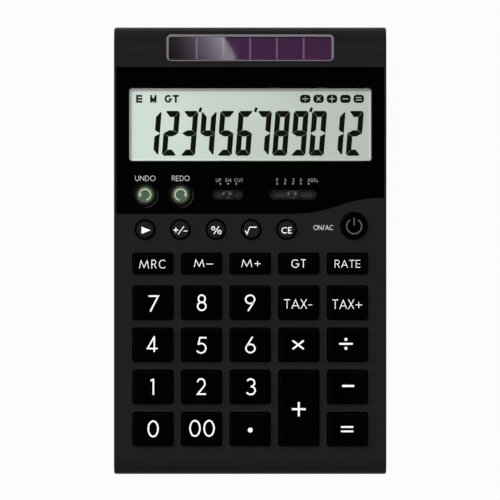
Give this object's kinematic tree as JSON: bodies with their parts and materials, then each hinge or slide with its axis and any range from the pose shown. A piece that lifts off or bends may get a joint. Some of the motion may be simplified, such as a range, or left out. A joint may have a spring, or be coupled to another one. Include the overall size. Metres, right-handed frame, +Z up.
{
  "type": "desk calculator",
  "caption": "Desk calculator: wedge case with a sloping deck of sprung keys, a large liquid crystal display, a solar window, slide switches and a coin-slot battery cap.",
  "frame": {"origin": "on the table, under the middle of the outline", "axes": "X right across the keys, Y from the front edge to the display, Z up"},
  "size_m": [0.109, 0.18, 0.0272],
  "materials": {
    "case_plastic": "fine texture, dark grey",
    "panel_gloss": "polished black",
    "clear_plastic": "clear acrylic",
    "display_glass": "display glass",
    "display_reflector": "pale grey green film",
    "inner_plastic": "plain moulding",
    "soft_rubber": "matte",
    "rim_plastic": "silver grey",
    "solar_glass": "dark purple cell behind glass",
    "black_keys": "satin black",
    "grey_keys": "fine texture, dark grey",
    "panel_keys": "grey green",
    "board": "paper laminate",
    "steel": "plated",
    "contact_brass": "bare",
    "can": "sleeved can",
    "wire_cover": "wire insulation"
  },
  "bodies": {
    "base": {"battery_contact_side": "steel", "battery_contact_top": "steel", "board_screws": "steel", "bottom_case": "case_plastic", "capacitor": "can", "case_screws": "steel", "chip_blob": "inner_plastic", "coin_cell": "steel", "display_panel": "panel_gloss", "display_window": "clear_plastic", "lcd_connector": "soft_rubber", "lcd_front_glass": "display_glass", "lcd_holder": "inner_plastic", "lcd_rear_glass": "display_glass", "lcd_reflector": "display_reflector", "lead_wires": "wire_cover", "main_board": "board", "rubber_feet": "soft_rubber", "rubber_keypad": "soft_rubber", "solar_cell": "solar_glass", "solar_frame": "rim_plastic", "solar_window": "clear_plastic", "top_case": "case_plastic"},
    "key_0_body": {"key_0": "black_keys"},
    "key_00_body": {"key_00": "black_keys"},
    "key_1_body": {"key_1": "black_keys"},
    "key_2_body": {"key_2": "black_keys"},
    "key_3_body": {"key_3": "black_keys"},
    "key_4_body": {"key_4": "black_keys"},
    "key_5_body": {"key_5": "black_keys"},
    "key_6_body": {"key_6": "black_keys"},
    "key_7_body": {"key_7": "black_keys"},
    "key_8_body": {"key_8": "black_keys"},
    "key_9_body": {"key_9": "black_keys"},
    "key_clear_entry_body": {"key_clear_entry": "grey_keys"},
    "key_divide_body": {"key_divide": "black_keys"},
    "key_equals_body": {"key_equals": "black_keys"},
    "key_grand_total_body": {"key_grand_total": "black_keys"},
    "key_memory_minus_body": {"key_memory_minus": "black_keys"},
    "key_memory_plus_body": {"key_memory_plus": "black_keys"},
    "key_memory_recall_body": {"key_memory_recall": "black_keys"},
    "key_minus_body": {"key_minus": "black_keys"},
    "key_percent_body": {"key_percent": "grey_keys"},
    "key_plus_body": {"key_plus": "black_keys"},
    "key_point_body": {"key_point": "black_keys"},
    "key_power_body": {"key_power": "black_keys"},
    "key_rate_body": {"key_rate": "black_keys"},
    "key_redo_body": {"key_redo": "panel_keys"},
    "key_root_body": {"key_root": "grey_keys"},
    "key_shift_body": {"key_shift": "grey_keys"},
    "key_sign_body": {"key_sign": "grey_keys"},
    "key_tax_minus_body": {"key_tax_minus": "black_keys"},
    "key_tax_plus_body": {"key_tax_plus": "black_keys"},
    "key_times_body": {"key_times": "black_keys"},
    "key_undo_body": {"key_undo": "panel_keys"},
    "rounding_slider_body": {"rounding_slider": "rim_plastic", "rounding_wiper": "contact_brass"},
    "decimal_slider_body": {"decimal_slider": "rim_plastic", "decimal_wiper": "contact_brass"},
    "battery_cap_body": {"battery_cap": "case_plastic"}
  },
  "joints": [
    {"name": "key_0_press", "type": "slide", "parent": "base", "child": "key_0_body", "axis": [0, 0.0958, -0.9954], "range_m": [0, 0.0016], "stiffness_N_per_m": 350, "springref_m": -0.0003, "deforming": ["rubber_keypad"]},
    {"name": "key_00_press", "type": "slide", "parent": "base", "child": "key_00_body", "axis": [0, 0.0958, -0.9954], "range_m": [0, 0.0016], "stiffness_N_per_m": 350, "springref_m": -0.0003, "deforming": ["rubber_keypad"]},
    {"name": "key_1_press", "type": "slide", "parent": "base", "child": "key_1_body", "axis": [0, 0.0958, -0.9954], "range_m": [0, 0.0016], "stiffness_N_per_m": 350, "springref_m": -0.0003, "deforming": ["rubber_keypad"]},
    {"name": "key_2_press", "type": "slide", "parent": "base", "child": "key_2_body", "axis": [0, 0.0958, -0.9954], "range_m": [0, 0.0016], "stiffness_N_per_m": 350, "springref_m": -0.0003, "deforming": ["rubber_keypad"]},
    {"name": "key_3_press", "type": "slide", "parent": "base", "child": "key_3_body", "axis": [0, 0.0958, -0.9954], "range_m": [0, 0.0016], "stiffness_N_per_m": 350, "springref_m": -0.0003, "deforming": ["rubber_keypad"]},
    {"name": "key_4_press", "type": "slide", "parent": "base", "child": "key_4_body", "axis": [0, 0.0958, -0.9954], "range_m": [0, 0.0016], "stiffness_N_per_m": 350, "springref_m": -0.0003, "deforming": ["rubber_keypad"]},
    {"name": "key_5_press", "type": "slide", "parent": "base", "child": "key_5_body", "axis": [0, 0.0958, -0.9954], "range_m": [0, 0.0016], "stiffness_N_per_m": 350, "springref_m": -0.0003, "deforming": ["rubber_keypad"]},
    {"name": "key_6_press", "type": "slide", "parent": "base", "child": "key_6_body", "axis": [0, 0.0958, -0.9954], "range_m": [0, 0.0016], "stiffness_N_per_m": 350, "springref_m": -0.0003, "deforming": ["rubber_keypad"]},
    {"name": "key_7_press", "type": "slide", "parent": "base", "child": "key_7_body", "axis": [0, 0.0958, -0.9954], "range_m": [0, 0.0016], "stiffness_N_per_m": 350, "springref_m": -0.0003, "deforming": ["rubber_keypad"]},
    {"name": "key_8_press", "type": "slide", "parent": "base", "child": "key_8_body", "axis": [0, 0.0958, -0.9954], "range_m": [0, 0.0016], "stiffness_N_per_m": 350, "springref_m": -0.0003, "deforming": ["rubber_keypad"]},
    {"name": "key_9_press", "type": "slide", "parent": "base", "child": "key_9_body", "axis": [0, 0.0958, -0.9954], "range_m": [0, 0.0016], "stiffness_N_per_m": 350, "springref_m": -0.0003, "deforming": ["rubber_keypad"]},
    {"name": "key_clear_entry_press", "type": "slide", "parent": "base", "child": "key_clear_entry_body", "axis": [0, 0.0958, -0.9954], "range_m": [0, 0.0016], "stiffness_N_per_m": 350, "springref_m": -0.0003, "deforming": ["rubber_keypad"]},
    {"name": "key_divide_press", "type": "slide", "parent": "base", "child": "key_divide_body", "axis": [0, 0.0958, -0.9954], "range_m": [0, 0.0016], "stiffness_N_per_m": 350, "springref_m": -0.0003, "deforming": ["rubber_keypad"]},
    {"name": "key_equals_press", "type": "slide", "parent": "base", "child": "key_equals_body", "axis": [0, 0.0958, -0.9954], "range_m": [0, 0.0016], "stiffness_N_per_m": 350, "springref_m": -0.0003, "deforming": ["rubber_keypad"]},
    {"name": "key_grand_total_press", "type": "slide", "parent": "base", "child": "key_grand_total_body", "axis": [0, 0.0958, -0.9954], "range_m": [0, 0.0016], "stiffness_N_per_m": 350, "springref_m": -0.0003, "deforming": ["rubber_keypad"]},
    {"name": "key_memory_minus_press", "type": "slide", "parent": "base", "child": "key_memory_minus_body", "axis": [0, 0.0958, -0.9954], "range_m": [0, 0.0016], "stiffness_N_per_m": 350, "springref_m": -0.0003, "deforming": ["rubber_keypad"]},
    {"name": "key_memory_plus_press", "type": "slide", "parent": "base", "child": "key_memory_plus_body", "axis": [0, 0.0958, -0.9954], "range_m": [0, 0.0016], "stiffness_N_per_m": 350, "springref_m": -0.0003, "deforming": ["rubber_keypad"]},
    {"name": "key_memory_recall_press", "type": "slide", "parent": "base", "child": "key_memory_recall_body", "axis": [0, 0.0958, -0.9954], "range_m": [0, 0.0016], "stiffness_N_per_m": 350, "springref_m": -0.0003, "deforming": ["rubber_keypad"]},
    {"name": "key_minus_press", "type": "slide", "parent": "base", "child": "key_minus_body", "axis": [0, 0.0958, -0.9954], "range_m": [0, 0.0016], "stiffness_N_per_m": 350, "springref_m": -0.0003, "deforming": ["rubber_keypad"]},
    {"name": "key_percent_press", "type": "slide", "parent": "base", "child": "key_percent_body", "axis": [0, 0.0958, -0.9954], "range_m": [0, 0.0016], "stiffness_N_per_m": 350, "springref_m": -0.0003, "deforming": ["rubber_keypad"]},
    {"name": "key_plus_press", "type": "slide", "parent": "base", "child": "key_plus_body", "axis": [0, 0.0958, -0.9954], "range_m": [0, 0.0016], "stiffness_N_per_m": 350, "springref_m": -0.0003, "deforming": ["rubber_keypad"]},
    {"name": "key_point_press", "type": "slide", "parent": "base", "child": "key_point_body", "axis": [0, 0.0958, -0.9954], "range_m": [0, 0.0016], "stiffness_N_per_m": 350, "springref_m": -0.0003, "deforming": ["rubber_keypad"]},
    {"name": "key_power_press", "type": "slide", "parent": "base", "child": "key_power_body", "axis": [0, 0.0958, -0.9954], "range_m": [0, 0.0016], "stiffness_N_per_m": 350, "springref_m": -0.0003, "deforming": ["rubber_keypad"]},
    {"name": "key_rate_press", "type": "slide", "parent": "base", "child": "key_rate_body", "axis": [0, 0.0958, -0.9954], "range_m": [0, 0.0016], "stiffness_N_per_m": 350, "springref_m": -0.0003, "deforming": ["rubber_keypad"]},
    {"name": "key_redo_press", "type": "slide", "parent": "base", "child": "key_redo_body", "axis": [0, 0.0958, -0.9954], "range_m": [0, 0.0016], "stiffness_N_per_m": 350, "springref_m": -0.0003, "deforming": ["rubber_keypad"]},
    {"name": "key_root_press", "type": "slide", "parent": "base", "child": "key_root_body", "axis": [0, 0.0958, -0.9954], "range_m": [0, 0.0016], "stiffness_N_per_m": 350, "springref_m": -0.0003, "deforming": ["rubber_keypad"]},
    {"name": "key_shift_press", "type": "slide", "parent": "base", "child": "key_shift_body", "axis": [0, 0.0958, -0.9954], "range_m": [0, 0.0016], "stiffness_N_per_m": 350, "springref_m": -0.0003, "deforming": ["rubber_keypad"]},
    {"name": "key_sign_press", "type": "slide", "parent": "base", "child": "key_sign_body", "axis": [0, 0.0958, -0.9954], "range_m": [0, 0.0016], "stiffness_N_per_m": 350, "springref_m": -0.0003, "deforming": ["rubber_keypad"]},
    {"name": "key_tax_minus_press", "type": "slide", "parent": "base", "child": "key_tax_minus_body", "axis": [0, 0.0958, -0.9954], "range_m": [0, 0.0016], "stiffness_N_per_m": 350, "springref_m": -0.0003, "deforming": ["rubber_keypad"]},
    {"name": "key_tax_plus_press", "type": "slide", "parent": "base", "child": "key_tax_plus_body", "axis": [0, 0.0958, -0.9954], "range_m": [0, 0.0016], "stiffness_N_per_m": 350, "springref_m": -0.0003, "deforming": ["rubber_keypad"]},
    {"name": "key_times_press", "type": "slide", "parent": "base", "child": "key_times_body", "axis": [0, 0.0958, -0.9954], "range_m": [0, 0.0016], "stiffness_N_per_m": 350, "springref_m": -0.0003, "deforming": ["rubber_keypad"]},
    {"name": "key_undo_press", "type": "slide", "parent": "base", "child": "key_undo_body", "axis": [0, 0.0958, -0.9954], "range_m": [0, 0.0016], "stiffness_N_per_m": 350, "springref_m": -0.0003, "deforming": ["rubber_keypad"]},
    {"name": "rounding_slide", "type": "slide", "parent": "base", "child": "rounding_slider_body", "axis": [1, 0, 0], "range_m": [-0.0032, 0.0032]},
    {"name": "decimal_slide", "type": "slide", "parent": "base", "child": "decimal_slider_body", "axis": [1, 0, 0], "range_m": [-0.0064, 0.0064]},
    {"name": "battery_cap_turn", "type": "hinge", "parent": "base", "child": "battery_cap_body", "pos_m": [-0.024, 0.0496, 0.0011], "axis": [0, 0, 1], "range_deg": [0, 60]}
  ]
}
